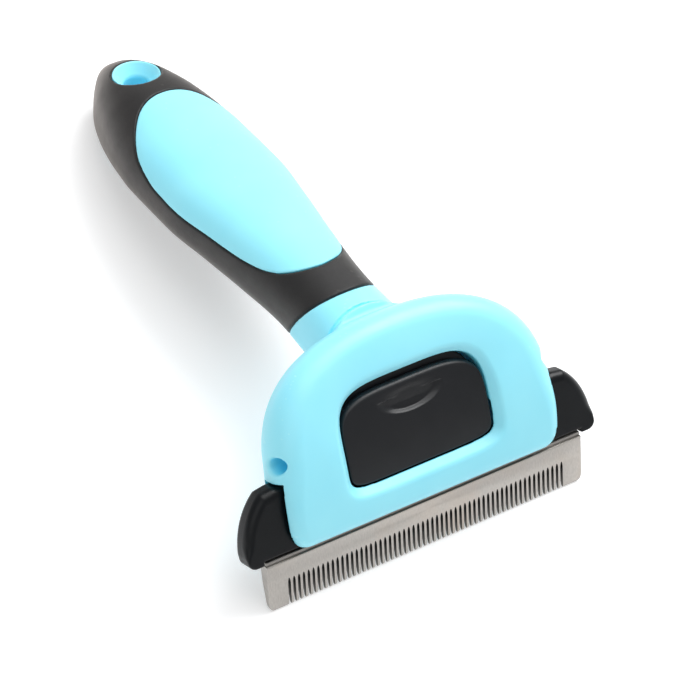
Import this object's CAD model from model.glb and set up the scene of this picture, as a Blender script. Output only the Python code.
"""Looks for the deshedding tool: moulded shells, soft grip, steel comb, soft studio light.

The tool lies as in the CAD: x across, y back from the comb along the handle, z up. It rests on
the comb's tips and the end of the handle. Head, carrier and comb are each drawn flat, with x
across, `up` the front face and `out` of it, and are then bent or tilted into place. Moulded
pieces are level surfaces of distance fields (negative inside), so that every edge has a radius.
Lengths are in millimetres until a mesh is made.
"""

import math
from collections import namedtuple
from contextlib import contextmanager

import bmesh
import bpy
import numpy as np
from mathutils import Matrix, Vector


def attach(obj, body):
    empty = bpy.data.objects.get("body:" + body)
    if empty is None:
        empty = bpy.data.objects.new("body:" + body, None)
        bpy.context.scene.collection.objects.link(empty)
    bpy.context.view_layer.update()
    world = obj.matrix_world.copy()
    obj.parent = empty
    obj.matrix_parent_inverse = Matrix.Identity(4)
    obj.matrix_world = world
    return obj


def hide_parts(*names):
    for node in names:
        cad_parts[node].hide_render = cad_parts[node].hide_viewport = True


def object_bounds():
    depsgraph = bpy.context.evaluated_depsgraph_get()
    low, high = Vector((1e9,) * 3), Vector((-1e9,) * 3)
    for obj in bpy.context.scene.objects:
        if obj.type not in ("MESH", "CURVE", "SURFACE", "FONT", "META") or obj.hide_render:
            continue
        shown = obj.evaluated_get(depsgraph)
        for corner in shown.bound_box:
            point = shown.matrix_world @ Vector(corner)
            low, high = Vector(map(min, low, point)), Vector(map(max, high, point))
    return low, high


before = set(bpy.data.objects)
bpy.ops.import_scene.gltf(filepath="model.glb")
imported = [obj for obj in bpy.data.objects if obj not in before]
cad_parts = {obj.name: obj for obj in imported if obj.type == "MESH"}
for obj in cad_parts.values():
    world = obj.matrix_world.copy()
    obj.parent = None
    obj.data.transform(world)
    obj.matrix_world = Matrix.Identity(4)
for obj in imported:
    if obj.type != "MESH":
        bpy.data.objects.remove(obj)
cad_box = [list(map(float, corner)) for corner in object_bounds()]
MM = 0.001

# ---------------------------------------------------------------- driving dimensions

Y_SHIFT = -86.23  # from y measured back from the comb's tips to the CAD's y

# head: bent about a line along x, with its lower front edge at EDGE_Y, EDGE_Z
BEND_R = 88.0
BEND_A = math.radians(66.5)
EDGE_Y, EDGE_Z = 2.9, 15.9
CENTRE_Y = EDGE_Y + BEND_R * math.sin(BEND_A) + Y_SHIFT
CENTRE_Z = EDGE_Z - BEND_R * math.cos(BEND_A)
HEAD_T = 15.0
SPLIT = 8.15  # depth of the joint between the two shells
HEAD_HALF, HEAD_MID, HEAD_TOP = 43.3, 20.0, 55.4
ARCH_POWER, CORNER_R = 2.43, 5.5
SIDE_UP = (0.0, 2.5, 5.5, 11.0, 16.0, HEAD_MID)
SIDE_HALF = (42.0, 42.3, 42.6, 42.95, 43.2, HEAD_HALF)

# window and button panel: half width, reach below WINDOW_MID and above it
WINDOW = (22.8, 9.0, 18.8)
PANEL = (22.3, 8.6, 16.6)
FLANGE = (21.8, 10.4, 19.2)
WINDOW_MID = 20.0
LIP_W, LIP_D = 2.3, 2.5  # width and depth of the window's flared lip
FLARE_SCALE = 0.736  # turns the flare's sideways distance into one square to it
ROOM_TOP = 20.9  # top of the cartridge's room in the head
BAY_HALF, BAY_LOW = 23.4, 8  # bay behind the window
PIVOT_UP, PIVOT_OUT = 26.0, -6.0
SIDE_HOLE_OUT = -4.4
SHELL_SCREWS = ((33.0, 31.5), (-33.0, 31.5), (27.2, 41.2), (-27.2, 41.2))  # x, up

# carrier and comb
CARRIER_A, CARRIER_T, CARRIER_TOP = math.radians(58.0), 6.2, 19.2
WING_X, WING_UP, WING_RX, WING_R_UP = 40.0, 2.0, 15.2, 19.5
CARRIER_JOINT = (-3.13, -3.17)  # meeting faces of the front and rear half
COMB_A, COMB_HALF, COMB_H = math.radians(68.4), 50.0, 14.4
PITCH, SLOTS, SLOT_W, SLOT_H = 1.5, 59, 0.78, 8.7
SLOT_SPAN = (SLOTS / 2 + 0.3) * PITCH  # the slots lie within this |x|
COMB_SCREWS_X = (-43.0, -15.0, 15.0, 43.0)

# handle stations: y, half width, top z, low z
HANDLE_Y = (34, 40, 48, 62, 78, 95, 112, 130, 139, 148, 154, 160, 165, 169.5, 172.3)
HANDLE_HALF = (
    18.0, 15.5, 13.2, 12.6, 14.0, 16.4, 18.4, 18.2, 17.1, 14.9, 12.9, 10.5, 7.6, 4.4, 1.2,
)
HANDLE_TOP = (
    47.5, 48.0, 47.0, 44.7, 42.2, 39.7, 36.6, 32.8, 31.3, 29.3, 27.4, 25.1, 22.1, 17.2, 10.7,
)
HANDLE_LOW = (
    27.0, 25.4, 23.5, 21.2, 18.4, 14.8, 10.5, 6.0, 3.7, 1.6, 0.5, 0.0, 0.9, 3.2, 7.4,
)
HANDLE_POWER = 2.3
SEAM_Y, SLEEVE_T = 58.4, 2.7  # front end of the grip sleeve, and its wall
LEAN, LEAN_REACH, LEAN_Z = -0.3, 22.0, 34.0  # the sections lean near the seam
CORE_INSET, CORE_SIDES = 3.05, 40

# thumb pad stations: y, half reach round the section from the top in degrees
PAD_Y = (68.2, 68.7, 70, 72.5, 77, 84, 94, 106, 118, 127, 134, 139, 142.5, 144.8, 145.6)
PAD_REACH = (4, 17, 34, 50, 62, 70, 74, 77, 76, 68, 55, 42, 29, 14, 4)
PAD_ROUND = 14.0  # radius at which that angle is unrolled
PAD_TABLE_Y, PAD_CELL = 63.0, 0.2  # start and cell of the pad's distance table
EYE_Y, EYE_Z, EYE_TILT, EYE_BORE_R = 154.4, 11.0, math.radians(15.0), 3.6

# ---------------------------------------------------------------- flat frames into the CAD's


def slope(up):
    return BEND_A - up / BEND_R


def bent_yz(up, out):
    radius = BEND_R + out
    return CENTRE_Y - radius * np.sin(slope(up)), CENTRE_Z + radius * np.cos(slope(up))


def head_place(points):
    y, z = bent_yz(points[:, 1], points[:, 2])
    return np.stack([points[:, 0], y, z], 1)


def tilted(points, origin, angle):
    cos, sin = math.cos(angle), math.sin(angle)
    up, out = points[:, 1], points[:, 2]
    y = origin[1] + up * cos - out * sin
    return np.stack([points[:, 0], y, origin[2] + up * sin + out * cos], 1)


def untilted(point, origin, angle):
    """(up, out) of one point in a tilted frame."""
    cos, sin = math.cos(angle), math.sin(angle)
    y, z = point[1] - origin[1], point[2] - origin[2]
    return y * cos + z * sin, -y * sin + z * cos


CARRIER_ORIGIN = head_place(np.array([[0.0, 0.0, -3.2]]))[0]
COMB_ORIGIN = (0.0, Y_SHIFT, 0.0)


def carrier_place(points):
    return tilted(points, CARRIER_ORIGIN, CARRIER_A)


def comb_place(points):
    return tilted(points, COMB_ORIGIN, COMB_A)


def comb_to_carrier(up, out):
    return untilted(comb_place(np.array([[0.0, up, out]]))[0], CARRIER_ORIGIN, CARRIER_A)


def carrier_to_comb(up, out):
    return untilted(carrier_place(np.array([[0.0, up, out]]))[0], COMB_ORIGIN, COMB_A)


SHOULDER = COMB_H + 1.25  # top of the step above the comb's ground face
CARRIER_LOW = max(comb_to_carrier(SHOULDER, out)[0] for out in (-0.45, -3.3)) + 0.3
TANG_BACK, TANG_FRONT, TANG_TOP = -3.9, -2.3, CARRIER_LOW + 4.4
COMB_SCREW_UP = CARRIER_LOW + 2.35

# ---------------------------------------------------------------- fields


def intersect(a, b, radius=0.0):
    """Both, with the edge between them rounded; the radius may change from place to place."""
    if np.isscalar(radius) and radius == 0:
        return np.maximum(a, b)
    corner = np.hypot(np.maximum(a + radius, 0), np.maximum(b + radius, 0))
    return np.minimum(np.maximum(a, b), -radius) + corner


def carve(solid, tool, radius=0.0):
    return intersect(solid, -tool, radius)


def join(a, b, radius):
    """Either, with a fillet."""
    corner = np.hypot(np.maximum(radius - a, 0), np.maximum(radius - b, 0))
    return np.maximum(np.minimum(a, b), radius) - corner


def box_field(coords, low, high, radius=0.0):
    made = None
    for along, start, end in zip(coords, low, high):
        side = np.abs(along - (start + end) / 2) - (end - start) / 2
        made = side if made is None else intersect(made, side, radius)
    return made


def ease(start, end, value):
    t = np.clip((value - start) / (end - start), 0, 1)
    return t * t * (3 - 2 * t)


def outline_distance(outline, x, y):
    """Signed distance from a closed outline, negative inside."""
    corners = np.asarray(outline, np.float32)
    best = np.full(np.broadcast(x, y).shape, 1e9, np.float32)
    inside = np.zeros(best.shape, bool)
    for (x0, y0), (x1, y1) in zip(np.roll(corners, 1, 0), corners):
        dx, dy = x1 - x0, y1 - y0
        if abs(dx) + abs(dy) < 1e-6:
            continue
        t = np.clip(((x - x0) * dx + (y - y0) * dy) / (dx * dx + dy * dy), 0, 1)
        best = np.minimum(best, (x - x0 - t * dx) ** 2 + (y - y0 - t * dy) ** 2)
        if y0 != y1:
            inside ^= ((y0 > y) != (y1 > y)) & (x < x0 + (y - y0) * dx / dy)
    return np.where(inside, -np.sqrt(best), np.sqrt(best)).astype(np.float32)


def grid(low, high, step):
    return [np.arange(a, b + step, step, dtype=np.float32) for a, b in zip(low, high)]


CORNERS = [(i, j, k) for i in (0, 1) for j in (0, 1) for k in (0, 1)]
EDGES = [
    (a, b)
    for a in CORNERS
    for b in CORNERS
    if sum(b) - sum(a) == 1 and all(end >= start for start, end in zip(a, b))
]


def surface(field, axes):
    """Points and quads of the field's zero level (surface nets)."""
    inside = field < 0
    total = np.zeros([n - 1 for n in field.shape], np.int8)
    for i, j, k in CORNERS:
        total += inside[i : i + total.shape[0], j : j + total.shape[1], k : k + total.shape[2]]
    cells = np.argwhere((total > 0) & (total < 8))
    index = np.full(total.shape, -1, np.int64)
    index[tuple(cells.T)] = np.arange(len(cells))
    # each cell's point is the mean of the crossings on its edges
    where = np.zeros((len(cells), 3))
    count = np.zeros((len(cells), 1))
    for a, b in EDGES:
        value_a = field[tuple((cells + a).T)].astype(float)
        value_b = field[tuple((cells + b).T)].astype(float)
        hit = (value_a < 0) != (value_b < 0)
        t = np.where(hit, value_a / np.where(hit, value_a - value_b, 1), 0)[:, None]
        point = np.array(a) + t * (np.array(b) - np.array(a))
        where += point * hit[:, None]
        count += hit[:, None]
    where = cells + where / count
    step = float(axes[0][1] - axes[0][0])
    origin = np.array([float(axis[0]) for axis in axes])
    # one quad across every grid edge whose ends differ
    quads = []
    for k in range(3):
        low = [slice(1, -1)] * 3
        high = [slice(1, -1)] * 3
        low[k] = slice(0, -1)
        high[k] = slice(1, None)
        start, end = inside[tuple(low)], inside[tuple(high)]
        at = np.argwhere(start != end)
        flip = start[tuple(at.T)]
        shift = np.ones(3, int)
        shift[k] = 0
        at = at + shift
        side_a, side_b = np.eye(3, dtype=int)[[(k + 1) % 3, (k + 2) % 3]]
        offsets = (0 * side_a, side_a, side_a + side_b, side_b)
        quad = np.stack([index[tuple((at - offset).T)] for offset in offsets], 1)
        quad[~flip] = quad[~flip][:, ::-1]
        quads.append(quad)
    return origin + where * step, np.concatenate(quads)


def relax(points, quads):
    """Evens out the grid's small steps; each smoothing is followed by its reverse."""
    edges = np.concatenate([quads[:, [i, (i + 1) % 4]] for i in range(4)])
    edges = np.unique(np.sort(edges, 1), axis=0)
    degree = np.bincount(edges.ravel(), minlength=len(points)).astype(float)[:, None]
    for weight in (0.5, -0.52) * 2:
        total = np.zeros_like(points)
        for k in range(3):
            total[:, k] = np.bincount(edges[:, 0], points[edges[:, 1], k], len(points))
            total[:, k] += np.bincount(edges[:, 1], points[edges[:, 0], k], len(points))
        points = points + weight * (total / degree - points)
    return points


# ---------------------------------------------------------------- meshes


def link_object(name, data):
    obj = bpy.data.objects.new(name, data)
    bpy.context.scene.collection.objects.link(obj)
    return obj


def mesh_object(name, points, faces):
    mesh = bpy.data.meshes.new(name)
    mesh.vertices.add(len(points))
    mesh.vertices.foreach_set("co", (points * MM).astype(np.float32).ravel())
    sides = faces.shape[1]
    mesh.loops.add(len(faces) * sides)
    mesh.loops.foreach_set("vertex_index", faces.astype(np.int32).ravel())
    mesh.polygons.add(len(faces))
    starts = np.arange(0, len(faces) * sides, sides, dtype=np.int32)
    mesh.polygons.foreach_set("loop_start", starts)
    mesh.update(calc_edges=True)
    mesh.validate()
    mesh.shade_smooth()
    return link_object(name, mesh)


def bmesh_object(name, bm):
    bmesh.ops.recalc_face_normals(bm, faces=bm.faces)
    mesh = bpy.data.meshes.new(name)
    bm.to_mesh(mesh)
    bm.free()
    return link_object(name, mesh)


def loft_faces(rings, sides):
    """Quads between successive closed rings of points."""
    faces = []
    for r in range(rings - 1):
        low, high = r * sides, (r + 1) * sides
        for i in range(sides):
            j = (i + 1) % sides
            faces.append((low + i, low + j, high + j, high + i))
    return np.array(faces)


@contextmanager
def editing(obj):
    bm = bmesh.new()
    bm.from_mesh(obj.data)
    yield bm
    bm.to_mesh(obj.data)
    bm.free()
    obj.data.update()


def drop_specks(obj, smallest):
    """Deletes separate shells of fewer than `smallest` vertices."""
    with editing(obj) as bm:
        seen, specks = set(), []
        for start in bm.verts:
            if start.index in seen:
                continue
            stack, group = [start], []
            seen.add(start.index)
            while stack:
                vert = stack.pop()
                group.append(vert)
                for edge in vert.link_edges:
                    other = edge.other_vert(vert)
                    if other.index not in seen:
                        seen.add(other.index)
                        stack.append(other)
            if len(group) < smallest:
                specks += group
        if specks:
            bmesh.ops.delete(bm, geom=specks, context="VERTS")


def field_object(name, field, axes, smallest=400):
    points, quads = surface(field, axes)
    obj = mesh_object(name, relax(points, quads), quads)
    drop_specks(obj, smallest)
    return obj


def cut_level(obj, level, keep_above):
    """Cuts a flat mesh at out = level with a clean edge and closes it."""
    with editing(obj) as bm:
        cut = bmesh.ops.bisect_plane(
            bm,
            geom=list(bm.verts) + list(bm.edges) + list(bm.faces),
            dist=1e-9,
            plane_co=(0, 0, level * MM),
            plane_no=(0, 0, 1),
            clear_inner=keep_above,
            clear_outer=not keep_above,
        )
        edges = [e for e in cut["geom_cut"] if isinstance(e, bmesh.types.BMEdge)]
        bmesh.ops.triangle_fill(bm, use_beauty=True, use_dissolve=False, edges=edges)
        bmesh.ops.recalc_face_normals(bm, faces=bm.faces)


def read_points(mesh):
    flat = np.zeros(len(mesh.vertices) * 3, np.float32)
    mesh.vertices.foreach_get("co", flat)
    return flat.reshape(-1, 3)


def place_mesh(obj, mapping):
    moved = mapping(read_points(obj.data).astype(float) / MM) * MM
    obj.data.vertices.foreach_set("co", moved.astype(np.float32).ravel())
    obj.data.update()


def add_bevel(obj, width, degrees=None):
    bevel = obj.modifiers.new("edge", "BEVEL")
    bevel.width = width * MM
    bevel.segments = 2
    bevel.limit_method = "ANGLE"
    if degrees:
        bevel.angle_limit = math.radians(degrees)


def bake(obj):
    """Replaces the mesh by what its modifiers make of it."""
    graph = bpy.context.evaluated_depsgraph_get()
    baked = bpy.data.meshes.new_from_object(obj.evaluated_get(graph))
    obj.modifiers.clear()
    obj.data = baked


def finish(obj, body, material, crease, node=None):
    obj.data.shade_smooth()
    obj.data.set_sharp_from_angle(angle=math.radians(crease))
    obj.data.materials.clear()
    obj.data.materials.append(material)
    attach(obj, body)
    if node:
        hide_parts(node)


# ---------------------------------------------------------------- outlines


def super_point(radius_x, radius_y, power, angle):
    """Point of a superellipse."""
    cos, sin = math.cos(angle), math.sin(angle)
    x = math.copysign(abs(cos) ** (2 / power), cos) * radius_x
    return x, math.copysign(abs(sin) ** (2 / power), sin) * radius_y


def arc(x, y, radius, start, end, steps):
    angles = [math.radians(start + (end - start) * i / steps) for i in range(steps + 1)]
    return [(x + radius * math.cos(a), y + radius * math.sin(a)) for a in angles]


def mirrored(half):
    return half + [(-x, y) for x, y in reversed(half) if x > 1e-6]


def smooth_curve(xs, ys):
    """Cubic through the stations that never overshoots them."""
    last = len(xs) - 1
    rises = [(ys[i + 1] - ys[i]) / (xs[i + 1] - xs[i]) for i in range(last)]
    slopes = [rises[0]]
    for before, after in zip(rises, rises[1:]):
        slopes.append(0 if before * after <= 0 else 2 * before * after / (before + after))
    slopes.append(rises[-1])

    def value(x):
        i = max(0, min(last - 1, sum(x >= station for station in xs) - 1))
        width = xs[i + 1] - xs[i]
        t = (x - xs[i]) / width
        return (
            (2 * t**3 - 3 * t**2 + 1) * ys[i]
            + (t**3 - 2 * t**2 + t) * width * slopes[i]
            + (3 * t**2 - 2 * t**3) * ys[i + 1]
            + (t**3 - t**2) * width * slopes[i + 1]
        )

    return value


def head_outline():
    side = smooth_curve(SIDE_UP, SIDE_HALF)
    half = [(0.0, 0.0)] + arc(side(2.0) - CORNER_R, CORNER_R, CORNER_R, -90, -6, 16)
    half += [(side(5.4 + i), 5.4 + i) for i in range(14)]
    for i in range(60):
        angle = math.pi / 2 * i / 60
        x, y = super_point(HEAD_HALF, HEAD_TOP - HEAD_MID, ARCH_POWER, angle)
        half.append((x, HEAD_MID + y))
    return mirrored(half + [(0.0, HEAD_TOP)])


def window_outline(width, low, high):
    """A squarish superellipse below WINDOW_MID and a rounder one above it."""
    half = [(0.0, WINDOW_MID - low)]
    for i in range(1, 40):
        x, y = super_point(width, low, 7.0, -math.pi / 2 + math.pi / 2 * i / 40)
        half.append((x, WINDOW_MID + y))
    for i in range(60):
        x, y = super_point(width, high, 4.2, math.pi / 2 * i / 60)
        half.append((x, WINDOW_MID + y))
    return mirrored(half + [(0.0, WINDOW_MID + high)])


# ---------------------------------------------------------------- handle's skin

TABLE_Y = np.arange(30.0, 172.301, 0.25)


def handle_table(stations):
    curve = smooth_curve(HANDLE_Y, stations)
    return np.array([curve(max(y, HANDLE_Y[0])) for y in TABLE_Y])


TABLE_HALF = handle_table(HANDLE_HALF)
TABLE_TOP = handle_table(HANDLE_TOP)
TABLE_LOW = handle_table(HANDLE_LOW)

# place along the handle, and the section there
Skin = namedtuple("Skin", "along half_width middle half_height z")


def handle_power(along):
    """Rounder along the grip, squarer about the hanging hole."""
    return HANDLE_POWER + 0.5 * ease(136.0, 160.0, along)


def handle_lean(along):
    return LEAN * np.maximum(0.0, 1 - np.abs(along - SEAM_Y) / LEAN_REACH)


def handle_terms(y, z):
    y = y - Y_SHIFT
    along = y.copy()
    for _ in range(4):
        along = y - handle_lean(along) * (z - LEAN_Z)
    half = np.interp(along, TABLE_Y, TABLE_HALF)
    top = np.interp(along, TABLE_Y, TABLE_TOP)
    low = np.interp(along, TABLE_Y, TABLE_LOW)
    terms = (along, half, (top + low) / 2, (top - low) / 2, z)
    return Skin(*[term.astype(np.float32) for term in terms])


def handle_field(x, terms):
    """Roughly the distance outside the handle's skin."""
    across = np.abs(x / terms.half_width)
    high = np.abs((terms.z - terms.middle) / terms.half_height)
    k = handle_power(terms.along).astype(np.float32)
    level = (across**k + high**k) ** (1 / k)
    # scaled by the level's gradient, so that offsets keep their thickness all round
    gradient = np.hypot(across ** (k - 1) / terms.half_width, high ** (k - 1) / terms.half_height)
    gradient = gradient * np.maximum(level, 0.05) ** (1 - k)
    return (level - 1) / np.maximum(gradient, 0.03)


def handle_space(low, high, step):
    """Grid axes, their coordinates and the handle's terms there."""
    axes = grid(low, high, step)
    x, y, z = np.ix_(*axes)
    return axes, x, y, z, handle_terms(y.astype(float), z.astype(float))


# ---------------------------------------------------------------- material helpers


def new_material(name):
    material = bpy.data.materials.new(name)
    material.use_nodes = True
    return material, material.node_tree, material.node_tree.nodes["Principled BSDF"]


def set_inputs(node, values):
    for name, value in values.items():
        node.inputs[name].default_value = value


def texture_point(tree, scale=(1, 1, 1), tilt=0.0):
    coords = tree.nodes.new("ShaderNodeTexCoord")
    mapping = tree.nodes.new("ShaderNodeMapping")
    set_inputs(mapping, {"Rotation": (tilt, 0.0, 0.0), "Scale": scale})
    tree.links.new(coords.outputs["Object"], mapping.inputs["Vector"])
    return mapping.outputs["Vector"]


def noise(tree, point, scale, detail, rough=0.55):
    node = tree.nodes.new("ShaderNodeTexNoise")
    set_inputs(node, {"Scale": scale, "Detail": detail, "Roughness": rough})
    tree.links.new(point, node.inputs["Vector"])
    return node.outputs["Fac"]


def ramp(tree, value, span, to=(0.0, 1.0)):
    """Maps the span to another, clamped."""
    node = tree.nodes.new("ShaderNodeMapRange")
    set_inputs(node, {"From Min": span[0], "From Max": span[1], "To Min": to[0], "To Max": to[1]})
    tree.links.new(value, node.inputs["Value"])
    return node.outputs["Result"]


def mix_colour(tree, factor, low, high):
    node = tree.nodes.new("ShaderNodeMix")
    node.data_type = "RGBA"
    for socket, value in ((node.inputs["A"], low), (node.inputs["B"], high)):
        if isinstance(value, tuple):
            socket.default_value = (*value, 1.0)
        else:
            tree.links.new(value, socket)
    tree.links.new(factor, node.inputs["Factor"])
    return node.outputs["Result"]


def bump(tree, shader, height, strength, distance):
    node = tree.nodes.new("ShaderNodeBump")
    set_inputs(node, {"Strength": strength, "Distance": distance})
    tree.links.new(height, node.inputs["Height"])
    tree.links.new(node.outputs["Normal"], shader.inputs["Normal"])


def tint_edges(tree, shade, colour, span):
    """Tints the convex edges; the span is of pointiness."""
    geometry = tree.nodes.new("ShaderNodeNewGeometry")
    return mix_colour(tree, ramp(tree, geometry.outputs["Pointiness"], span), shade, colour)


def tint_hollows(tree, shade, colour, distance, strength):
    """Tints the hollows, where light has bounced off the same plastic several times."""
    sky = tree.nodes.new("ShaderNodeAmbientOcclusion")
    sky.samples = 6
    sky.inputs["Distance"].default_value = distance
    factor = ramp(tree, sky.outputs["AO"], span=(0.25, 0.85), to=(strength, 0.0))
    return mix_colour(tree, factor, shade, colour)


# ---------------------------------------------------------------- materials


def moulded(name, colour, deep, edge, rough, grain, specular=0.5, subsurface=0.0, hollow=None):
    """Hard plastic: faint blotches and smudges, a fine grain and lighter edges."""
    material, tree, shader = new_material(name)
    point = texture_point(tree)
    blotch = noise(tree, point, scale=55.0, detail=2.0)
    shade = mix_colour(tree, ramp(tree, blotch, span=(0.35, 0.65)), deep, colour)
    shade = tint_edges(tree, shade, edge, span=(0.56, 0.75))
    if hollow:
        shade = tint_hollows(tree, shade, hollow, distance=0.006, strength=0.75)
    tree.links.new(shade, shader.inputs["Base Color"])
    smudge = noise(tree, point, scale=210.0, detail=4.0, rough=0.6)
    roughness = ramp(tree, smudge, span=(0.3, 0.7), to=(rough - 0.045, rough + 0.045))
    tree.links.new(roughness, shader.inputs["Roughness"])
    shader.inputs["Specular IOR Level"].default_value = specular
    fine = noise(tree, point, scale=5200.0, detail=2.0)
    bump(tree, shader, fine, strength=grain, distance=0.00006)
    if subsurface:
        set_inputs(shader, {
            "Subsurface Weight": subsurface,
            "Subsurface Radius": (0.6, 1.0, 1.1),
            "Subsurface Scale": 0.0022,
        })
    return material


def soft_rubber(name):
    """Near-black rubber with a warm sheen, patchy dust and a pebbled skin."""
    material, tree, shader = new_material(name)
    point = texture_point(tree)
    blotch = noise(tree, point, scale=70.0, detail=3.0)
    factor = ramp(tree, blotch, span=(0.35, 0.65))
    shade = mix_colour(tree, factor, (0.010, 0.010, 0.011), (0.016, 0.0155, 0.016))
    shade = tint_edges(tree, shade, (0.04, 0.038, 0.036), span=(0.53, 0.64))
    tree.links.new(shade, shader.inputs["Base Color"])
    dust = noise(tree, point, scale=420.0, detail=5.0, rough=0.65)
    roughness = ramp(tree, dust, span=(0.3, 0.7), to=(0.47, 0.58))
    tree.links.new(roughness, shader.inputs["Roughness"])
    set_inputs(shader, {
        "Specular IOR Level": 0.32,
        "Sheen Weight": 0.42,
        "Sheen Roughness": 0.4,
        "Sheen Tint": (1.0, 0.9, 0.83, 1.0),
    })
    grain = tree.nodes.new("ShaderNodeTexVoronoi")
    grain.inputs["Scale"].default_value = 2600.0
    tree.links.new(point, grain.inputs["Vector"])
    bump(tree, shader, grain.outputs["Distance"], strength=0.16, distance=0.00009)
    return material


def brushed(name, colour, dark, streak, tilt=0.0, rough=0.33, warm=None, slot=None, wear=0.8):
    """Brushed steel; streak is the noise's scale along each axis, wear the edges' brightness."""
    material, tree, shader = new_material(name)
    lines = noise(tree, texture_point(tree, streak, tilt), scale=1.0, detail=5.0, rough=0.6)
    shade = mix_colour(tree, ramp(tree, lines, span=(0.3, 0.7)), dark, colour)
    if warm:
        broad = noise(tree, texture_point(tree), scale=45.0, detail=3.0)
        shade = mix_colour(tree, ramp(tree, broad, span=(0.5, 0.75), to=(0.0, 0.5)), shade, warm)
    shade = tint_edges(tree, shade, (wear, wear * 0.99, wear * 0.97), span=(0.54, 0.68))
    if slot:
        # the walls of the slots are darker, and less metallic, towards their closed ends
        depth = tree.nodes.new("ShaderNodeAttribute")
        depth.attribute_name = "slot_depth"
        depth = depth.outputs["Fac"]
        shade = mix_colour(tree, ramp(tree, depth, span=(0.25, 0.75)), shade, slot)
        metallic = ramp(tree, depth, span=(0.0, 0.5), to=(0.6, 0.0))
        tree.links.new(metallic, shader.inputs["Metallic"])
        shader.inputs["Specular IOR Level"].default_value = 0.1
    else:
        shader.inputs["Metallic"].default_value = 1.0
    tree.links.new(shade, shader.inputs["Base Color"])
    roughness = ramp(tree, lines, span=(0.25, 0.75), to=(rough - 0.07, rough + 0.09))
    tree.links.new(roughness, shader.inputs["Roughness"])
    shader.inputs["Anisotropic"].default_value = 0.55
    bump(tree, shader, lines, strength=0.05, distance=0.00004)
    return material


CYAN_LOOK = dict(
    colour=(0.33, 0.85, 1.0), deep=(0.31, 0.83, 0.99), edge=(0.42, 0.9, 1.0), subsurface=0.12
)
CYAN = moulded("cyan_moulding", **CYAN_LOOK, rough=0.4, grain=0.035, hollow=(0.07, 0.74, 1.0))
CYAN_PAD = moulded(
    "cyan_pad", **CYAN_LOOK, rough=0.5, grain=0.09, specular=0.4, hollow=(0.14, 0.76, 1.0)
)
RUBBER = soft_rubber("grip_rubber")
BLACK = moulded(
    "black_moulding",
    colour=(0.0105, 0.0115, 0.0135),
    deep=(0.0085, 0.0095, 0.0115),
    edge=(0.03, 0.031, 0.034),
    rough=0.36,
    grain=0.05,
    specular=0.36,
)
CARRIER = moulded(
    "black_carrier",
    colour=(0.0025, 0.004, 0.0055),
    deep=(0.002, 0.003, 0.0042),
    edge=(0.012, 0.014, 0.016),
    rough=0.32,
    grain=0.05,
    specular=0.26,
)
COMB = brushed(
    "comb_steel",
    colour=(0.50, 0.475, 0.445),
    dark=(0.36, 0.34, 0.318),
    streak=(5200.0, 130.0, 900.0),
    tilt=-COMB_A,
    rough=0.4,
    warm=(0.46, 0.385, 0.32),
    wear=0.55,
)
WALL = brushed(
    "comb_slots",
    colour=(0.16, 0.15, 0.14),
    dark=(0.11, 0.104, 0.098),
    streak=(900.0, 130.0, 2600.0),
    tilt=-COMB_A,
    slot=(0.003, 0.0026, 0.0024),
    wear=0.3,
)
STRIP = brushed(
    "comb_step",
    colour=(0.33, 0.315, 0.295),
    dark=(0.25, 0.24, 0.225),
    streak=(900.0, 2600.0, 900.0),
    tilt=-COMB_A,
    rough=0.5,
    wear=0.2,
)
SCREW = brushed(
    "screw_steel",
    colour=(0.60, 0.60, 0.61),
    dark=(0.42, 0.42, 0.43),
    streak=(2600.0, 2600.0, 2600.0),
    rough=0.28,
)
SPRING = brushed(
    "spring_steel",
    colour=(0.52, 0.53, 0.55),
    dark=(0.38, 0.39, 0.41),
    streak=(300.0, 3200.0, 900.0),
    tilt=-0.8,
    rough=0.3,
)
PIN = brushed(
    "pin_steel",
    colour=(0.58, 0.58, 0.59),
    dark=(0.4, 0.4, 0.41),
    streak=(3200.0, 300.0, 300.0),
    rough=0.25,
)

# ---------------------------------------------------------------- head
# Box corners at 30 or 60 mm lie well beyond the piece.


def edge_radius(up):
    """Radius of the head's outer edges: largest at the sides, tightest along the lower side."""
    radius = 4.5 + 2.9 * ease(10.0, 26.0, up) - 0.7 * ease(34.0, 52.0, up)
    return radius.astype(np.float32)


def window_sink(window, up):
    """How far the front face sinks towards the window."""
    upper = ease(22.0, 34.0, up)
    t = np.clip(1 - window / (6.0 + 5.0 * upper), 0, 1)
    return (0.35 + 0.65 * upper) * t * t


def front_shell():
    axes = grid((-46.5, -1.8, -9.6), (46.5, 56.0, 1.2), 0.3)
    at = x, up, out = np.ix_(*axes)
    plan = outline_distance(head_outline(), x, up)
    window = outline_distance(window_outline(*WINDOW), x, up)
    shell = intersect(plan, out + window_sink(window, up), edge_radius(up))
    flare = (window - (LIP_W / LIP_D) * (out + LIP_D)) * FLARE_SCALE
    shell = carve(shell, np.minimum(window, flare), 0.5)
    shell = carve(shell, box_field(at, (-60, -30, -30), (60, ROOM_TOP, -2.9)), 0.25)
    bay = box_field(at, (-BAY_HALF, BAY_LOW, -30), (BAY_HALF, 40.0, -5.6))
    shell = carve(shell, bay, 0.15)
    # a round hole in each side, level with the pivot
    hole = np.hypot(up - PIVOT_UP, out - SIDE_HOLE_OUT) - 2.4
    shell = carve(shell, np.maximum(hole, 36.5 - np.abs(x)), 0.75)
    obj = field_object("frame_shell", shell, axes)
    cut_level(obj, -SPLIT, keep_above=True)
    place_mesh(obj, head_place)
    finish(obj, "tool_body", CYAN, 50, "head_frame")


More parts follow.
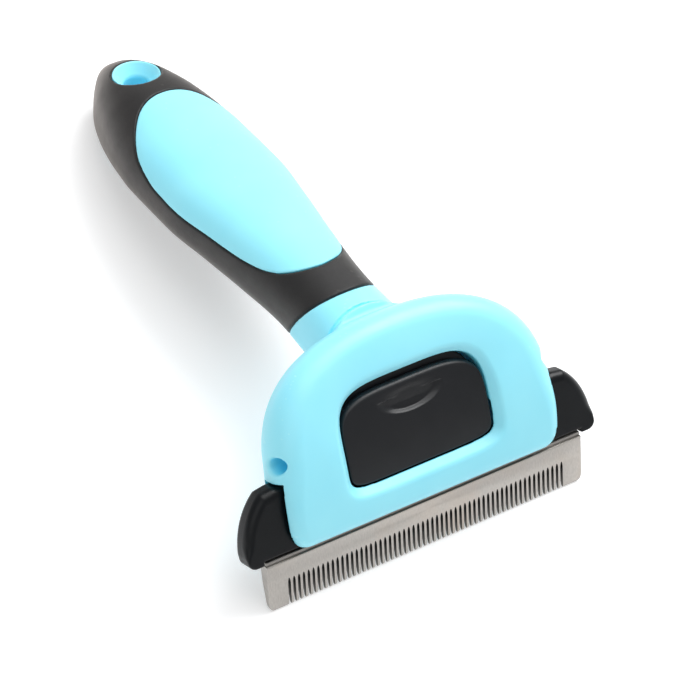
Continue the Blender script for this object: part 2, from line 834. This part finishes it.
def rear_moulding():
    """Rear shell, collar, neck and the spigot inside the grip, in one."""
    axes = grid((-46.5, -1.8, -46.0), (46.5, 79.0, -6.8), 0.38)
    at = x, up, out = np.ix_(*axes)
    plan = outline_distance(head_outline(), x, up)
    y, z = bent_yz(up, out)
    terms = handle_terms(y, z)
    along = terms.along
    skin = handle_field(x, terms)
    neck_start = 30.5 - along
    neck = intersect(skin, along - (SEAM_Y - 0.22), 0.5)
    neck = np.maximum(neck, neck_start)
    spigot = np.maximum(skin + SLEEVE_T + 0.3, along - 63.5)
    neck = np.minimum(neck, np.maximum(spigot, 50.0 - along))
    # within and near the head's outline the neck stays behind the head's hollow
    under_head = np.where(plan < 9.0, out + 11.7, -1.0)
    neck = np.maximum(neck, under_head)
    rear = intersect(plan, -HEAD_T - out, edge_radius(up))
    # the collar: a step proud of the neck, its edge round an upright axis 29 mm behind the tips
    ring = np.hypot(x, y - Y_SHIFT - 29.0)
    collar = intersect(skin - 1.9, ring - 19.0, 1.5)
    collar = np.maximum(collar, np.maximum(neck_start, under_head))
    rear = join(rear, collar, 2.2)
    rear = np.maximum(rear, out + 7.2)
    body = join(rear, neck, 0.1)
    # a fine groove round the foot of the collar
    body = intersect(body, 0.8 - np.hypot(skin - 0.1, ring - 19.5), 0.1)
    body = carve(body, box_field(at, (-60, -30, -10.9), (60, ROOM_TOP, 5.0)), 0.25)
    bay = box_field(at, (-BAY_HALF, BAY_LOW, -10.9), (BAY_HALF, 47.6, 5.0))
    body = carve(body, bay, 0.15)
    for screw_x, screw_up in SHELL_SCREWS:
        bore = np.hypot(x - screw_x, up - screw_up)
        body = carve(body, np.maximum(bore - 2.9, out + 12.0), 0.35)
        body = carve(body, bore - 1.6)
    obj = field_object("rear_moulding", body, axes)
    cut_level(obj, -SPLIT - 0.03, keep_above=False)
    place_mesh(obj, head_place)
    finish(obj, "tool_body", CYAN, 50, "handle_chassis")


front_shell()
rear_moulding()

# ---------------------------------------------------------------- grip, pad and eyelet


def pad_table():
    """Distance from the pad's outline, unrolled: along the handle, and round it from the top."""
    reach = smooth_curve(PAD_Y, PAD_REACH)
    start, end = PAD_Y[0], PAD_Y[-1]
    ys = [start + (end - start) * (0.5 - 0.5 * math.cos(math.pi * k / 80)) for k in range(81)]
    half = [(y, math.radians(reach(y)) * PAD_ROUND) for y in ys]
    half = [(start - 0.05, 0.0)] + half + [(end + 0.05, 0.0)]
    outline = half + [(y, -around) for y, around in reversed(half[1:-1])]
    along = np.arange(PAD_TABLE_Y, 151.0, PAD_CELL, dtype=np.float32)
    around = np.arange(0.0, 24.0, PAD_CELL, dtype=np.float32)
    return outline_distance(outline, *np.ix_(along, around))


PAD_TABLE = pad_table()


def pad_edge(x, terms):
    """Distance outside the pad's outline, read between the table's points."""
    high = (terms.z - terms.middle) / terms.half_height
    k = handle_power(terms.along) / 2
    angle = np.arctan2(np.abs(x / terms.half_width) ** k, np.sign(high) * np.abs(high) ** k)
    along = np.broadcast_to(terms.along, angle.shape)
    row = np.clip((along - PAD_TABLE_Y) / PAD_CELL, 0, PAD_TABLE.shape[0] - 1.001)
    column = np.clip(angle * PAD_ROUND / PAD_CELL, 0, PAD_TABLE.shape[1] - 1.001)
    i, j = row.astype(np.int32), column.astype(np.int32)
    row, column = row - i, column - j
    return (
        PAD_TABLE[i, j] * (1 - row) * (1 - column)
        + PAD_TABLE[i + 1, j] * row * (1 - column)
        + PAD_TABLE[i, j + 1] * (1 - row) * column
        + PAD_TABLE[i + 1, j + 1] * row * column
    )


def eye_terms(x, y, z):
    """Radius from the eyelet's axis and height along it."""
    y = y - (EYE_Y + Y_SHIFT)
    z = z - EYE_Z
    height = y * math.sin(EYE_TILT) + z * math.cos(EYE_TILT)
    across = y * math.cos(EYE_TILT) - z * math.sin(EYE_TILT)
    return np.hypot(x, across), height


def eye_radius(height):
    """Outer radius of the eyelet, wider towards both ends."""
    return np.interp(height, (-7.6, -5.4, 6.0, 8.8), (6.8, 5.3, 5.3, 6.8))


def soft_grip():
    step = 0.34
    axes, x, y, z, terms = handle_space((-19.6, -40.0, -0.8), (19.6, 87.4, 47.5), step)
    skin = np.maximum(handle_field(x, terms), terms.along - 172.25)
    hollow = np.maximum(skin + SLEEVE_T, terms.along - 165.7)
    sleeve = intersect(skin, SEAM_Y + 0.12 - terms.along, 0.55)
    sleeve = carve(sleeve, hollow)
    upper_side = np.where(terms.z > terms.middle - 4.0, -5.0, 5.0)
    sleeve = carve(sleeve, np.maximum(pad_edge(x, terms) - 0.16, upper_side), 0.5)
    radius, height = eye_terms(x, y, z)
    sleeve = carve(sleeve, radius - eye_radius(height) - 0.16, 0.4)
    obj = field_object("soft_grip", sleeve, axes)
    finish(obj, "tool_body", RUBBER, 60, "grip_sleeve")


def thumb_pad():
    step = 0.3
    axes, x, _, _, terms = handle_space((-19.4, -20.5, 19.0), (19.4, 61.0, 45.5), step)
    skin = handle_field(x, terms)
    pad = intersect(skin - 0.12, pad_edge(x, terms), 0.6)
    pad = carve(pad, skin + 2.2)
    obj = field_object("thumb_pad", pad, axes)
    finish(obj, "tool_body", CYAN_PAD, 60, "top_pad")


def eyelet_liner():
    step = 0.2
    axes, x, y, z, terms = handle_space((-8.4, 58.5, -0.8), (8.4, 80.5, 26.5), step)
    radius, height = eye_terms(x, y, z)
    eye = intersect(handle_field(x, terms) - 0.1, radius - eye_radius(height), 0.4)
    # the dish widens upwards; 0.75 evens out the distance to its sloping wall
    dish_radius = np.interp(height, (10.3, 11.5, 14.6), (3.1, 4.3, 6.95))
    eye = carve(eye, (radius - dish_radius) * 0.75, 0.5)
    eye = carve(eye, radius - EYE_BORE_R, 0.5)
    obj = field_object("eyelet_liner", eye, axes, smallest=200)
    finish(obj, "tool_body", CYAN, 60, "hang_eyelet")


def core_ring(along):
    half = np.interp(along, TABLE_Y, TABLE_HALF) - CORE_INSET
    top = np.interp(along, TABLE_Y, TABLE_TOP) - CORE_INSET
    low = np.interp(along, TABLE_Y, TABLE_LOW) + CORE_INSET
    power = float(handle_power(along))
    ring = []
    for i in range(CORE_SIDES):
        x, z = super_point(half, (top - low) / 2, power, 2 * math.pi * i / CORE_SIDES)
        z += (top + low) / 2
        ring.append((x, along + handle_lean(along) * (z - LEAN_Z) + Y_SHIFT, z))
    return ring


def handle_core():
    """The solid core inside the grip."""
    rings = [core_ring(along) for along in np.linspace(64.0, 149.0, 24)]
    points = np.array([point for ring in rings for point in ring])
    obj = mesh_object("handle_core", points, loft_faces(len(rings), CORE_SIDES)[:, ::-1])
    with editing(obj) as bm:
        bmesh.ops.holes_fill(bm, edges=[e for e in bm.edges if e.is_boundary], sides=0)
        bmesh.ops.recalc_face_normals(bm, faces=bm.faces)
        rims = [e for e in bm.edges if len(e.link_faces) == 2 and e.calc_face_angle(0) > 1.2]
        bmesh.ops.bevel(
            bm, geom=rims, offset=0.8 * MM, segments=3, affect="EDGES", profile=0.6
        )
    finish(obj, "tool_body", CYAN, 40)


soft_grip()
thumb_pad()
eyelet_liner()
handle_core()

# ---------------------------------------------------------------- release button


def scoop_depth(x, up):
    """Depth of the hollow in the button's face: a gentle rise above its middle, steep below."""
    middle, deepest = 32.0, 1.75
    side = x / 11.0
    high = (up - middle) / np.where(up < middle, 5.3, 3.3)
    radius = np.sqrt(side**2 + np.where(high < 0, np.abs(high) ** 2, (high * 1.02) ** 2))
    inside = np.clip(1 - radius, 0, 1)
    floor_tilt = np.clip((35.4 - up) / 8.4, 0, 1)
    wall = np.where(high > 0, ease(0.0, 0.75, inside), ease(0.0, 0.34, inside))
    return deepest * floor_tilt**1.1 * wall


def rocker_button():
    axes = grid((-23.6, 6.5, -12.4), (23.6, 40.2, -1.6), 0.2)
    at = x, up, out = np.ix_(*axes)
    panel_plan = outline_distance(window_outline(*PANEL), x, up)
    flange_plan = outline_distance(window_outline(*FLANGE), x, up)
    face = out - (-LIP_D - scoop_depth(x, up))
    panel = intersect(panel_plan, face, 0.45 + 1.5 * ease(29.0, 35.5, up))
    panel = intersect(panel, -4.7 - out, 0.2)
    flange = intersect(flange_plan, np.abs(out + 6.5) - 0.55, 0.3)
    web = np.maximum(panel_plan + 3.0, np.maximum(out + 3.6, -7.0 - out))
    # room for the spring leaf
    leaf_room = box_field(at, (-4.9, -9, -30), (4.9, 33.6, -5.5))
    button = np.minimum(panel, carve(np.minimum(flange, web), leaf_room))
    for sign in (-1, 1):
        ear_x, post_x = 18.2 * sign, 5.9 * sign
        ear = box_field(at, (ear_x - 1.6, 23.4, -8.2), (ear_x + 1.6, 28.6, -3.0), 0.3)
        post = box_field(at, (post_x - 0.7, 12.2, -8.2), (post_x + 0.7, 13.6, -4.0), 0.1)
        button = np.minimum(np.minimum(button, ear), post)
    # the bar between the posts
    button = np.minimum(button, box_field(at, (-6.0, 12.3, -8.1), (6.0, 13.5, -7.4), 0.1))
    axle = np.hypot(up - PIVOT_UP, out - PIVOT_OUT) - (1.25 + 0.3)  # pin and clearance
    button = carve(button, np.maximum(axle, 15.4 - np.abs(x)))
    obj = field_object("rocker_button", button, axes)
    place_mesh(obj, head_place)
    finish(obj, "button", BLACK, 60, "release_button")


rocker_button()

# ---------------------------------------------------------------- cartridge: carrier halves


def carrier_outline(tongue):
    """Winged outline; with the tongue, a strip reaches up in the middle."""
    corner = COMB_HALF + 0.4
    half = [(0.0, CARRIER_LOW), (corner, CARRIER_LOW), (corner, CARRIER_LOW - 1.3)]
    half += arc(WING_X + WING_RX - 2.6, CARRIER_LOW + 1.1, 2.4, -90, -8, 10)
    half += [(WING_X + WING_RX * 0.997, WING_UP + 1.4)]
    for i in range(1, 44):
        angle = math.pi / 2 * i / 52
        up = WING_UP + WING_R_UP * math.sin(angle)
        if up < CARRIER_TOP - 0.3:
            half.append((WING_X + WING_RX * math.cos(angle), up))
    half += [(44.4, CARRIER_TOP), (30.0, CARRIER_TOP), (27.0, 9.2)]
    if tongue:
        half += [(13.0, 9.2), (13.0, 23.5), (11.0, 25.5), (0.0, 25.5)]
    else:
        half += [(0.0, 9.2)]
    return mirrored(half)


def carrier_space(tongue, top, low, high):
    """Grid axes, coordinates, outline distance, and 1 on the wings fading to 0 inwards."""
    step = 0.26
    axes = grid((-56.2, CARRIER_LOW - 2.4, low), (56.2, top, high), step)
    at = x, up, _ = np.ix_(*axes)
    plan = outline_distance(carrier_outline(tongue), x, up)
    return axes, at, plan, ease(38.0, 42.0, np.abs(x))


def cut_tang_slot(block, at):
    low = (-COMB_HALF - 0.2, CARRIER_LOW - 4, TANG_BACK - 0.2)
    high = (COMB_HALF + 0.2, TANG_TOP + 0.2, TANG_FRONT + 0.2)
    return carve(block, box_field(at, low, high))


def finish_carrier(name, block, axes, level, keep_above, node):
    obj = field_object(name, block, axes)
    cut_level(obj, level, keep_above)
    place_mesh(obj, carrier_place)
    finish(obj, "blade_cartridge", CARRIER, 45, node)


# each block runs 1.2 mm past the joint, where it is then cut off


def carrier_front():
    level = CARRIER_JOINT[0]
    axes, at, plan, wing = carrier_space(False, 20.2, level - 2.1, 0.9)
    _, up, out = at
    radius = 0.35 + 2.2 * wing * ease(CARRIER_LOW + 0.2, CARRIER_LOW + 6.0, up)
    block = intersect(plan, out, radius)
    block = np.maximum(block, level - 1.2 - out)
    block = cut_tang_slot(block, at)
    finish_carrier("carrier_front_half", block, axes, level, True, "carrier_front")


def carrier_rear():
    level = CARRIER_JOINT[1]
    axes, at, plan, wing = carrier_space(True, 26.3, -CARRIER_T - 0.9, level + 2.1)
    x, up, out = at
    block = intersect(plan, -CARRIER_T - out, 0.5 + 1.1 * wing)
    block = np.maximum(block, out - level - 1.2)
    # the tongue is thinner, with a square window
    block = np.maximum(block, np.where((np.abs(x) < 20) & (up > 9.6), out + 4.4, -9.0))
    block = carve(block, box_field(at, (-5.8, 12.6, -30), (5.8, 19.4, 30)))
    block = cut_tang_slot(block, at)
    for screw_x in COMB_SCREWS_X:
        bore = np.hypot(x - screw_x, up - COMB_SCREW_UP)
        block = carve(block, np.maximum(bore - 1.85, out + CARRIER_T - 1.6), 0.2)
        block = carve(block, bore - 1.0)
    finish_carrier("carrier_rear_half", block, axes, level, False, "carrier_back")


carrier_front()
carrier_rear()

# ---------------------------------------------------------------- comb

COMB_LEVELS = (
    0.0, 0.08, 0.18, 0.26, 0.35, 0.6, 0.9, 1.1, 1.7, 2.6, 3.0, 4.4, 6.0,
    SLOT_H - 1.5, SLOT_H - 0.8, SLOT_H - 0.2, SLOT_H, 11.0, 13.8, COMB_H,
)


def slot_half(up):
    """Half the slot's width: flared between the rounded tips, closing to a point at the top."""
    half = SLOT_W / 2
    ups = (0.0, 0.08, 0.26, 0.6, SLOT_H - 1.5, SLOT_H - 0.8, SLOT_H - 0.2, SLOT_H)
    halves = (half + 0.26, half + 0.14, half + 0.05, half, half, half * 0.82, half * 0.4, 0.0)
    return float(np.interp(up, ups, halves))


def end_inset(up):
    """How far the end block's outer corner is rounded off."""
    return float(np.interp(up, (0.0, 0.08, 0.35, 0.9, 1.7, 2.6), (2.9, 1.9, 1.1, 0.5, 0.12, 0.0)))


def comb_front(up):
    """The ground face: flat, and rolled back at the tips."""
    return np.interp(up, (0.0, 0.25, 0.6, 1.1), (-0.62, -0.22, -0.05, 0.0))


def comb_back(up):
    return np.interp(up, (0.0, 0.5, 3.0, 8.6, 13.8, 14.4), (-0.7, -0.95, -1.5, -2.7, -3.3, -3.3))


def tooth_sides(i, up):
    """Lower and higher x of tooth i; the first and last are the end blocks."""

    def centre(slot):
        return (slot - (SLOTS - 1) / 2) * PITCH

    left = centre(i - 1) + slot_half(up) if i else end_inset(up) - COMB_HALF
    right = centre(i) - slot_half(up) if i < SLOTS else COMB_HALF - end_inset(up)
    return left, right


def comb_teeth():
    bm = bmesh.new()
    corners = {}

    def corner(x, up):
        key = (round(x, 4), round(up, 4))
        if key not in corners:
            corners[key] = bm.verts.new((x * MM, up * MM, 0))
        return corners[key]

    for i in range(SLOTS + 1):
        for low, high in zip(COMB_LEVELS, COMB_LEVELS[1:]):
            low_left, low_right = tooth_sides(i, low)
            high_left, high_right = tooth_sides(i, high)
            bm.faces.new((
                corner(low_left, low),
                corner(low_right, low),
                corner(high_right, high),
                corner(high_left, high),
            ))
    # the extruded copy becomes the front face
    made = bmesh.ops.extrude_face_region(bm, geom=list(bm.faces))
    front = {vert for vert in made["geom"] if isinstance(vert, bmesh.types.BMVert)}
    for vert in bm.verts:
        up = vert.co.y / MM
        vert.co.z = float(comb_front(up) if vert in front else comb_back(up)) * MM
    comb = bmesh_object("comb_teeth", bm)
    add_bevel(comb, 0.06, degrees=50)
    bake(comb)
    # depth in the slot: 0 at the tips, 1 at the closed end and above; -1 beyond the slots
    points = read_points(comb.data) / MM
    depth = np.clip(points[:, 1] / SLOT_H, 0.0, 1.0)
    depth = np.where(np.abs(points[:, 0]) < SLOT_SPAN, depth, -1.0).astype(np.float32)
    comb.data.attributes.new("slot_depth", "FLOAT", "POINT").data.foreach_set("value", depth)
    place_mesh(comb, comb_place)
    finish(comb, "blade_cartridge", COMB, 35, "comb_blade")
    comb.data.materials.append(WALL)
    for face in comb.data.polygons:
        is_wall = abs(face.normal.x) > 0.6 and abs(face.center.x) < SLOT_SPAN * MM
        face.material_index = int(is_wall)


def tang_section():
    """Closed section in (up, out), from the step's front round the tang and back."""
    foot_front = carrier_to_comb(CARRIER_LOW - 0.6, TANG_FRONT)
    foot_back = carrier_to_comb(CARRIER_LOW - 0.6, TANG_BACK)
    return [
        (COMB_H + 0.02, -0.45),
        (SHOULDER - 0.1, -0.45),
        (SHOULDER, -0.55),
        (SHOULDER, foot_front[1]),
        carrier_to_comb(TANG_TOP, TANG_FRONT),
        carrier_to_comb(TANG_TOP, TANG_BACK),
        (SHOULDER, foot_back[1] - 0.05),
        (COMB_H + 0.02, -3.28),
    ]


def comb_tang():
    """The step above the ground face and the tang that the carrier holds, one bar."""
    section = tang_section()
    bm = bmesh.new()
    left, right = [
        [bm.verts.new((x * MM, up * MM, out * MM)) for up, out in section]
        for x in (-COMB_HALF + 0.15, COMB_HALF - 0.15)
    ]
    bm.faces.new(left)
    bm.faces.new(list(reversed(right)))
    for i in range(len(section)):
        j = (i + 1) % len(section)
        bm.faces.new((left[i], left[j], right[j], right[i]))
    tang = bmesh_object("comb_tang", bm)
    add_bevel(tang, 0.1)
    bake(tang)
    place_mesh(tang, comb_place)
    finish(tang, "blade_cartridge", STRIP, 35)


comb_teeth()
comb_tang()

# ---------------------------------------------------------------- screws, pins and spring

SHELL_SCREW = dict(length=8.6, shank=1.3, head_r=2.55, head_h=1.5)
LEAF_SCREW = dict(length=5.8, shank=1.1, head_r=1.85, head_h=0.8)
COMB_SCREW = dict(length=4.0, shank=0.8, head_r=1.55, head_h=0.8)
SCREW_SIDES = 40


def screw_profile(length, shank, head_r, head_h):
    """(radius, height) from the top of the head to the tip; the thread is a row of rings."""
    root = shank * 0.84
    profile = [
        (0.0, -head_h),
        (head_r * 0.55, -head_h * 0.97),
        (head_r * 0.8, -head_h * 0.78),
        (head_r * 0.95, -head_h * 0.35),
        (head_r, 0.0),
        (head_r * 0.98, 0.25),
        (shank, 0.35),
    ]
    z = 0.6
    while z < length - 0.7:
        profile += [(root, z), (shank, z + 0.18), (shank, z + 0.26), (root, z + 0.44)]
        z += 0.6
    return profile + [(shank * 0.8, length - 0.3), (shank * 0.4, length), (0.0, length)]


def recess_cutter(name, head_r, head_h):
    """A cross that narrows into the head."""
    near, far = head_r * 0.14, head_r * 0.62
    cross = [
        (near, far), (near, near), (far, near), (far, -near), (near, -near), (near, -far),
        (-near, -far), (-near, -near), (-far, -near), (-far, near), (-near, near), (-near, far),
    ]
    bottom = -head_h + head_h * 0.62
    bm = bmesh.new()
    wide = [bm.verts.new((x * MM, y * MM, (-head_h - 0.5) * MM)) for x, y in cross]
    narrow = [bm.verts.new((x * 0.6 * MM, y * 0.6 * MM, bottom * MM)) for x, y in cross]
    bm.faces.new(wide)
    bm.faces.new(list(reversed(narrow)))
    for i in range(len(cross)):
        j = (i + 1) % len(cross)
        bm.faces.new((wide[i], narrow[i], narrow[j], wide[j]))
    return bmesh_object(name + "_recess", bm)


def screw_piece(name, node, place, body, size):
    profile = screw_profile(**size)
    turns = [2 * math.pi * k / SCREW_SIDES for k in range(SCREW_SIDES)]
    points = [(r * math.cos(a), r * math.sin(a), z) for r, z in profile for a in turns]
    obj = mesh_object(name, np.array(points), loft_faces(len(profile), SCREW_SIDES))
    with editing(obj) as bm:
        bmesh.ops.remove_doubles(bm, verts=bm.verts, dist=1e-7)
        bmesh.ops.recalc_face_normals(bm, faces=bm.faces)
    cutter = recess_cutter(name, size["head_r"], size["head_h"])
    cut = obj.modifiers.new("recess", "BOOLEAN")
    cut.operation = "DIFFERENCE"
    cut.solver = "EXACT"
    cut.object = cutter
    bake(obj)
    bpy.data.objects.remove(cutter)
    obj.data.transform(place)
    finish(obj, body, SCREW, 35, node)


def head_matrix(x, up, out):
    angle = slope(up)
    cos, sin = math.cos(angle), math.sin(angle)
    origin = head_place(np.array([[x, up, out]]))[0]
    turn = Matrix(((1, 0, 0), (0, cos, -sin), (0, sin, cos))).to_4x4()
    return Matrix.Translation(Vector(origin.tolist()) * MM) @ turn


def carrier_matrix(x, up, out):
    origin = Matrix.Translation(Vector(CARRIER_ORIGIN.tolist()) * MM)
    tilt = Matrix.Rotation(CARRIER_A, 4, "X")
    return origin @ tilt @ Matrix.Translation(Vector((x, up, out)) * MM)


for i, (x, up) in enumerate(SHELL_SCREWS, 1):
    place = head_matrix(x, up, -12.6) @ Matrix.Rotation(0.4 + 0.9 * i, 4, "Z")
    screw_piece(f"shell_screw_{i}", f"frame_screw_{i}", place, "tool_body", SHELL_SCREW)
screw_piece("leaf_screw", "catch_screw", head_matrix(0, 43.0, -9.6), "tool_body", LEAF_SCREW)
for i, x in enumerate(COMB_SCREWS_X, 1):
    place = carrier_matrix(x, COMB_SCREW_UP, -CARRIER_T + 1.1) @ Matrix.Rotation(0.7 * i, 4, "Z")
    screw_piece(f"comb_screw_{i}", f"blade_screw_{i}", place, "blade_cartridge", COMB_SCREW)

# the CAD's own pins and spring, with bevelled edges
for name, material in (
    ("pivot_pin_left", PIN),
    ("pivot_pin_right", PIN),
    ("catch_spring", SPRING),
):
    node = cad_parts[name]
    node.data.materials.clear()
    node.data.materials.append(material)
    add_bevel(node, 0.08)

# ---------------------------------------------------------------- floor, light and camera (metres)

FLOOR_HALF, FLOOR_GAP = 6.0, 0.0002
LENS = 231.42857  # mm
CAMERA_AT = (-0.52799, -0.49496 + Y_SHIFT * MM, 0.94679)
CAMERA_AXES = (  # right, up, back
    (0.8315, -0.5306, 0.1644),
    (0.3344, 0.7145, 0.6146),
    (-0.4435, -0.4561, 0.7715),
)


def white_sweep():
    """White paper that glows a little."""
    material, tree, shader = new_material("white_sweep")
    set_inputs(shader, {
        "Base Color": (0.72, 0.72, 0.725, 1),
        "Emission Color": (1.0, 0.995, 0.99, 1),
        "Emission Strength": 0.42,
        "Roughness": 0.6,
        "Specular IOR Level": 0.15,
    })
    paper = noise(tree, texture_point(tree), scale=900.0, detail=3.0)
    bump(tree, shader, paper, strength=0.02, distance=0.0001)
    return material


def add_floor():
    mesh = bpy.data.meshes.new("floor")
    signs = ((-1, -1), (1, -1), (1, 1), (-1, 1))
    corners = [(x * FLOOR_HALF, y * FLOOR_HALF, 0) for x, y in signs]
    mesh.from_pydata(corners, [], [(0, 1, 2, 3)])
    floor = link_object("floor", mesh)
    floor.location.z = Vector(cad_box[0]).z - FLOOR_GAP
    mesh.materials.append(white_sweep())


def add_world():
    world = bpy.data.worlds.new("studio")
    bpy.context.scene.world = world
    world.use_nodes = True
    background = world.node_tree.nodes["Background"]
    set_inputs(background, {"Color": (1.0, 1.0, 1.0, 1), "Strength": 0.42})


def softbox(name, location, target, size, energy):
    """A square area light aimed at the target."""
    light = bpy.data.lights.new(name, "AREA")
    light.shape = "RECTANGLE"
    light.size = size
    light.size_y = size
    light.energy = energy
    obj = link_object(name, light)
    obj.location = location
    aim = Vector(target) - Vector(location)
    obj.rotation_euler = aim.to_track_quat("-Z", "Y").to_euler()


def add_camera():
    data = bpy.data.cameras.new("camera")
    data.sensor_width = 36.0
    data.lens = LENS
    data.clip_start = 0.05
    data.clip_end = 20.0
    camera = link_object("camera", data)
    turn = Matrix(CAMERA_AXES).transposed().to_4x4()
    camera.matrix_world = Matrix.Translation(CAMERA_AT) @ turn
    bpy.context.scene.camera = camera


add_floor()
add_world()
softbox("key", location=(0.75, 0.35, 1.05), target=(0, 0, 0.03), size=0.8, energy=15.0)
softbox("fill", location=(-0.9, -0.7, 0.9), target=(0, 0, 0.03), size=1.0, energy=2.0)
softbox("top", location=(0.1, 0.1, 1.5), target=(0, 0, 0.0), size=1.2, energy=8.0)
add_camera()
bpy.context.scene.view_settings.view_transform = "Standard"
